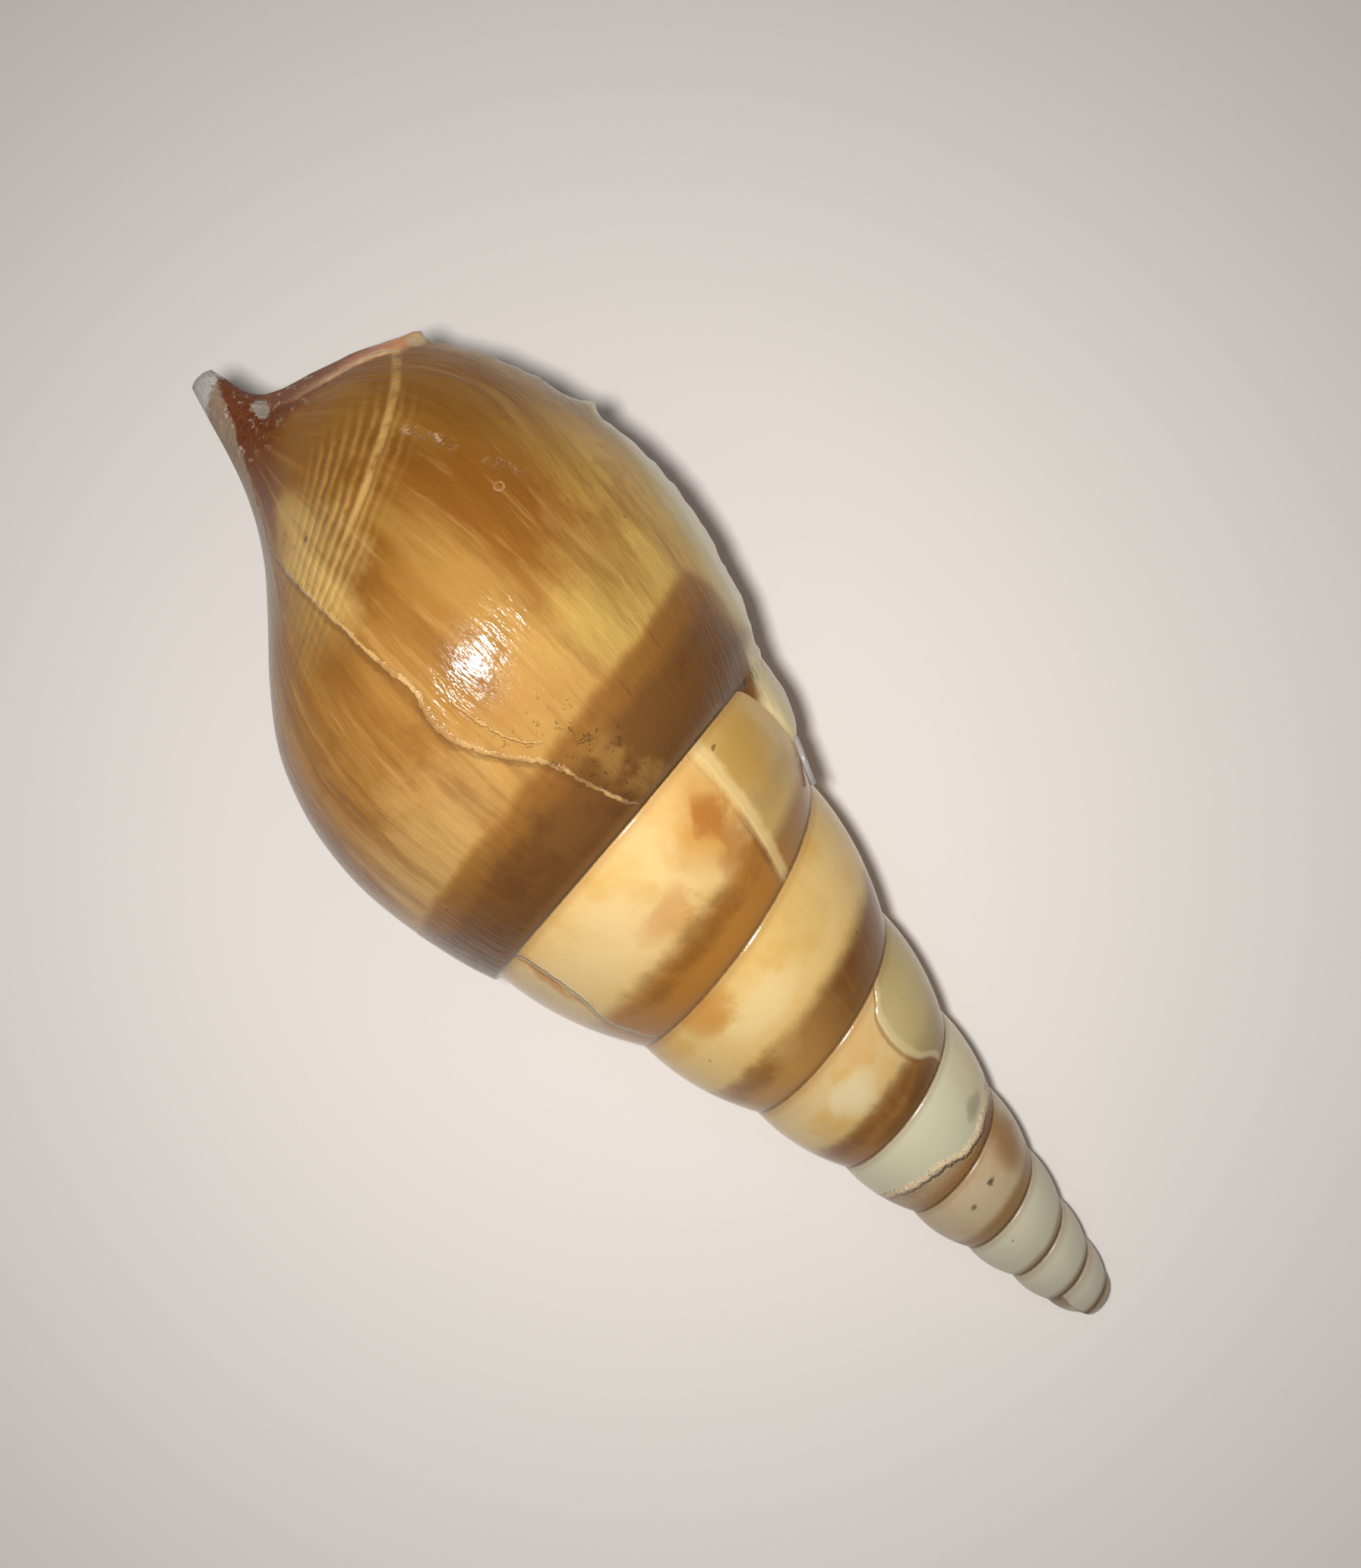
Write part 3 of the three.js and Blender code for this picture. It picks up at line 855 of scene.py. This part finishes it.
# The lip: cream along its edge, orange inside the break, and salmon where it is bevelled in front
lip_wander = from_lip + (fine_cloud - 0.5) * 1.6 + (narrow_streaks - 0.5) * 3.0
strip_edge = down_axis.curve([
    (78.0, 2.4), (83.0, 3.4), (87.0, 5.4), (92.0, 9.6), (100.0, 10.0), (108.0, 7.4),
    (116.0, 3.6), (122.0, 1.8), (130.0, 1.2), (140.0, 0.8)])
beside_strip = lip_wander - strip_edge
off_beak = below.fall(1.75, 1.95) * age.fall(0.12, 0.2)
layer_zone = down_axis.near(107.0, 8.0).most(down_axis.near(92.5, 8.0))
bevel_mm = from_lip + (fine_cloud - 0.5) * 1.2
in_front = down_axis.rise(131.5, 133.5) * down_axis.fall(138.8, 140.0) * age.fall(0.08, 0.1)
bevel = bevel_mm.fall(3.8, 4.8) * in_front
knob_spot = ((east + 57.0) / 1.4).sum("POWER", 2.0) + ((north - 17.4) / 1.2).sum("POWER", 2.0)
outer = stained(
    outer,
    ((188, 152, 84), beside_strip.fall(-1.0, 3.0) * off_beak * 0.5),
    ((214, 196, 142), beside_strip.fall(-2.4, 0.2) * off_beak * 0.75),
    ((250, 238, 200), (lip_wander / strip_edge).fall(0.3, 0.8) * off_beak * 0.9),
    ((226, 146, 62), from_lip.fall(0.9, 2.0) * layer_zone * (0.5 + cloud * 0.6)),
    ((196, 120, 56), age.fall(-0.006, -0.001) * (0.4 + cloud * 0.8) * off_beak),
    ((140, 78, 36), bevel_mm.fall(4.6, 7.5) * in_front * 0.5),
    ((252, 208, 154), bevel * 0.95),
    ((232, 142, 78), bevel_mm.fall(2.2, 3.6) * bevel * 0.9),
    ((212, 110, 44), chips.rise(0.45, 0.6) * bevel * 0.5),
    ((214, 186, 140), knob_spot.fall(0.2, 1.1) * 0.85))

# Where the lip climbs the older whorl its edge is a cream tongue, with painted shade in the crease
# inside
tongue = age.fall(0.060, 0.075) * (down_axis + (fine_cloud - 0.5) * 1.5).fall(85.0, 88.5)
tongue_mm = from_lip + (fine_cloud - 0.5) * 0.8
tongue_end = down_axis.fall(79.0, 80.0) * from_lip.fall(3.0, 4.0)
outer = stained(
    outer,
    # Painted shade in the crease between the tongue and the older whorl
    ((150, 100, 50), tongue * tongue_mm.rise(7.6, 8.6) * 0.5),
    ((226, 206, 156), tongue * tongue_mm.fall(7.8, 9.0) * 0.95),
    ((176, 166, 156), tongue * tongue_end))

# The broken beak: red brown, chipped white, pinkish grey underneath and clear at the tip
beak = (down_axis + (fine_cloud - 0.5) * 4).rise(133.5, 137.5)
beak_side = north + (east + 66.0) * 0.42 + (fine_cloud - 0.5) * 2.0 + (chips - 0.5) * 1.0
under_beak = beak_side.fall(-1.6, -1.0) * (east + (blotches - 0.5) * 8).fall(-50.0, -40.0)
under_beak = under_beak * down_axis.rise(112.0, 118.0)
beak_rim = beak_side.near(-1.2, 0.4) * under_beak.most(beak)
chip_across = (east + 63.1 + (grain - 0.5) * 1.6) / 1.7
chip_along = (north - 1.2 + (chips - 0.5) * 2.4) / 1.1
chip = chip_across.sum("POWER", 2.0) + chip_along.sum("POWER", 2.0)
tip = (east + (grain - 0.5) * 2 + north * 0.5).fall(-69.0, -68.4)
outer = stained(
    outer,
    ((110, 50, 14), beak * 0.85),
    ((196, 176, 156), beak * chips.rise(0.56, 0.62) * 0.75),
    ((168, 146, 124), under_beak * 0.75),
    ((206, 182, 164), beak_rim * chips.rise(0.5, 0.6) * 0.7),
    ((172, 158, 142), chip.fall(0.5, 0.9) * 0.9),
    ((200, 197, 188), tip * 0.85))

# A scratch and a small ring on the back, and dust in pits all over
on_back = height_up.rise(30.0, 34.0)
from_scratch = (north - 10.3) * 0.919 - (east + 46.3) * 0.395
rubbed = east.rise(-48.0, -46.5) * east.fall(-43.0, -41.5)
rubbed = rubbed + east.rise(-39.5, -39.0) * east.fall(-36.6, -35.6) * 0.5
scratch_zone = (from_scratch + (fine_cloud - 0.5) * 1.2).near(0.0, 0.75) * rubbed * on_back
scratch = chips.rise(0.50, 0.58) * scratch_zone
ring_out = ((east + 36.2).sum("POWER", 2.0) + (north - 12.3).sum("POWER", 2.0)).sum("SQRT")
ring = ring_out.near(0.45, 0.16) * on_back * grain.rise(0.35, 0.55)
speck_noise = mottle(east, north, height_up, 0.42, 2, 0.5)
outer = stained(
    outer,
    ((206, 158, 118), scratch * 0.75),
    ((206, 164, 124), ring * 0.5),
    ((80, 56, 34), speck_noise.rise(0.765, 0.785) * 0.6))
Glaze.tree.links.new(outer.socket, skin.inputs["Base Color"])

# Relief in millimetres, for the light to catch
smooth_spire = age.fall(0.7, 1.1) * 0.8 + 0.2
relief = (fine_lines + narrow_streaks) * smooth_spire * 0.12 + fine_cloud * 0.03 + grain * 0.012
relief = relief + cord_wave * cord_zone * 0.04
relief = relief + main_break.fall(-0.25, 0.25) * on_body * 0.12
relief = relief + main_break.near(0.0, 0.4) * on_body * grain * 0.2
relief = relief + second_break * on_body * 0.15
relief = relief - whorl_break.near(0.2, 0.7) * on_second * 0.05
relief = relief + low_break.fall(-0.2, 0.2) * on_second * 0.25
relief = relief + flake_edge.fall(-0.3, 0.3) * on_fourth * 0.18
relief = relief + ridge.near(0.0, 0.8) * on_fifth * (grain * 0.9 + chips * 0.5)
relief = relief + scab * chips * 0.3
pits = chips.rise(0.60, 0.66) * (main_break + 3.0).near(0.0, 5.0) * on_body * below.fall(0.5, 0.75)
relief = relief - pits * 0.12 - scratch * 0.08 - ring * 0.06
relief = relief - suture_mm.fall(0.05, 0.4) * 0.1
relief = relief + beak * chips * 0.5 + bevel * fine_cloud * 0.25
bumped = Glaze.node("ShaderNodeBump", {}, {"Height": relief, "Strength": 1.0, "Distance": 0.001})
Glaze.tree.links.new(bumped.socket, skin.inputs["Normal"])
shine = 0.13 + fine_cloud * 0.08 + beak * 0.2 + scratch * 0.3 + pits * 0.1
shine = shine + age.rise(3.5, 6.0) * 0.16
Glaze.tree.links.new(shine.socket, skin.inputs["Roughness"])
skin.inputs["IOR"].default_value = 1.42

# ---- The shell: lining of the mouth ----
# Smooth porcelain-like shell, cream by the lip and paler inside. Nothing shows of it from above.
lining, inner_skin = new_glaze("cream_lining")
growth_uv = Glaze.node("ShaderNodeUVMap", {"uv_map": "growth"}, {})
inner_age = Glaze.node("ShaderNodeSeparateXYZ", {}, {0: growth_uv}, 0)
inner_spot = Glaze.node("ShaderNodeTexCoord", {}, {}, 3)
inner_noise = {"Vector": inner_spot, "Scale": 90.0, "Detail": 4.0}
inner_cloud = Glaze.node("ShaderNodeTexNoise", {}, inner_noise)
inner_colour = over(paint(206, 150, 92), paint(226, 206, 172), inner_age.rise(0.0, 0.08))
inner_colour = over(inner_colour, paint(214, 178, 134), inner_cloud.rise(0.5, 0.7) * 0.5)
Glaze.tree.links.new(inner_colour.socket, inner_skin.inputs["Base Color"])
inner_shine = 0.2 + inner_cloud * 0.15
Glaze.tree.links.new(inner_shine.socket, inner_skin.inputs["Roughness"])
inner_skin.inputs["Coat Weight"].default_value = 0.3

mesh.materials.append(glaze)
mesh.materials.append(lining)

# ---- The grey sliver ----
# A straight splinter of clear grey shell, under a millimetre thick, broken off the end of the
# climbing lip. It lies along the older whorl, stuck on by dirt, and is too thin to be a solid.
sliver_start = Vector((-1.6, 17.4, 25.9)) / 1000
sliver_end = Vector((3.4, 15.3, 25.2)) / 1000
sliver_run = sliver_end - sliver_start
bpy.ops.mesh.primitive_cylinder_add(vertices=12, radius=0.00035, depth=sliver_run.length,
                                    location=(sliver_start + sliver_end) / 2,
                                    rotation=sliver_run.to_track_quat("Z", "Y").to_euler())
sliver = bpy.context.object
sliver.name = "grey_sliver"
bpy.ops.object.transform_apply(location=False, rotation=True, scale=True)
bpy.ops.object.shade_smooth()
clear_grey, sliver_skin = new_glaze("clear_grey_shell")
sliver_skin.inputs["Base Color"].default_value = paint(168, 163, 158)
sliver_skin.inputs["Roughness"].default_value = 0.25
sliver.data.materials.append(clear_grey)
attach(sliver, "root")

# ---- Floor ----
# A plain pale board under the shell, wide enough to run out of sight on every side. It is a
# matt, faintly warm white with nothing on it.
bpy.ops.object.select_all(action="DESELECT")
bpy.ops.mesh.primitive_plane_add(size=3.0)
floor = bpy.context.object
floor.name = "floor"
board = bpy.data.materials.new("pale_board")
board.use_nodes = True
board_skin = board.node_tree.nodes["Principled BSDF"]
board_skin.inputs["Base Color"].default_value = paint(243, 236, 229)
board_skin.inputs["Roughness"].default_value = 0.8
board_skin.inputs["Specular IOR Level"].default_value = 0.2
floor.data.materials.append(board)

# ---- Camera ----
# It looks down on the shell's back from a hand's breadth above, with the beak at the upper left.
camera_data = bpy.data.cameras.new("camera")
camera_data.sensor_fit = "VERTICAL"
camera_data.sensor_height = 36
camera_data.lens = 34.639535
camera_data.clip_start = 0.01
camera = bpy.data.objects.new("camera", camera_data)
bpy.context.scene.collection.objects.link(camera)
right = Vector((0.69638, 0.71606, -0.04808))
up = Vector((-0.71436, 0.69803, 0.04933))
back = Vector((0.06889, 0.0, 0.99762))
camera_spot = Vector((0.004569, 0.005168, 0.186393))
turned = Matrix((right, up, back)).transposed().to_4x4()
camera.matrix_world = Matrix.Translation(camera_spot) @ turned
bpy.context.scene.camera = camera

# ---- Lights ----
# A small round lamp beside the camera gives the small highlights and a narrow shadow. A wide soft
# panel overhead and a dim white surround fill the rest.
lamp_aside = 0.0127
key_data = bpy.data.lights.new("key", "AREA")
key_data.shape = "DISK"
key_data.size = 0.013
key_data.energy = 0.27
key = bpy.data.objects.new("key", key_data)
key.matrix_world = Matrix.Translation(camera_spot - right * lamp_aside) @ turned
bpy.context.scene.collection.objects.link(key)
panel_data = bpy.data.lights.new("panel", "AREA")
panel_data.size = 1.5
panel_data.energy = 2.0
panel = bpy.data.objects.new("panel", panel_data)
panel.location = (-0.1, 0.0, 1.2)
panel.visible_glossy = False
bpy.context.scene.collection.objects.link(panel)
world = bpy.data.worlds.new("surround")
bpy.context.scene.world = world
world.use_nodes = True
world.node_tree.nodes["Background"].inputs["Color"].default_value = (1, 0.98, 0.96, 1)
world.node_tree.nodes["Background"].inputs["Strength"].default_value = 0.08
bpy.context.scene.view_settings.view_transform = "Standard"
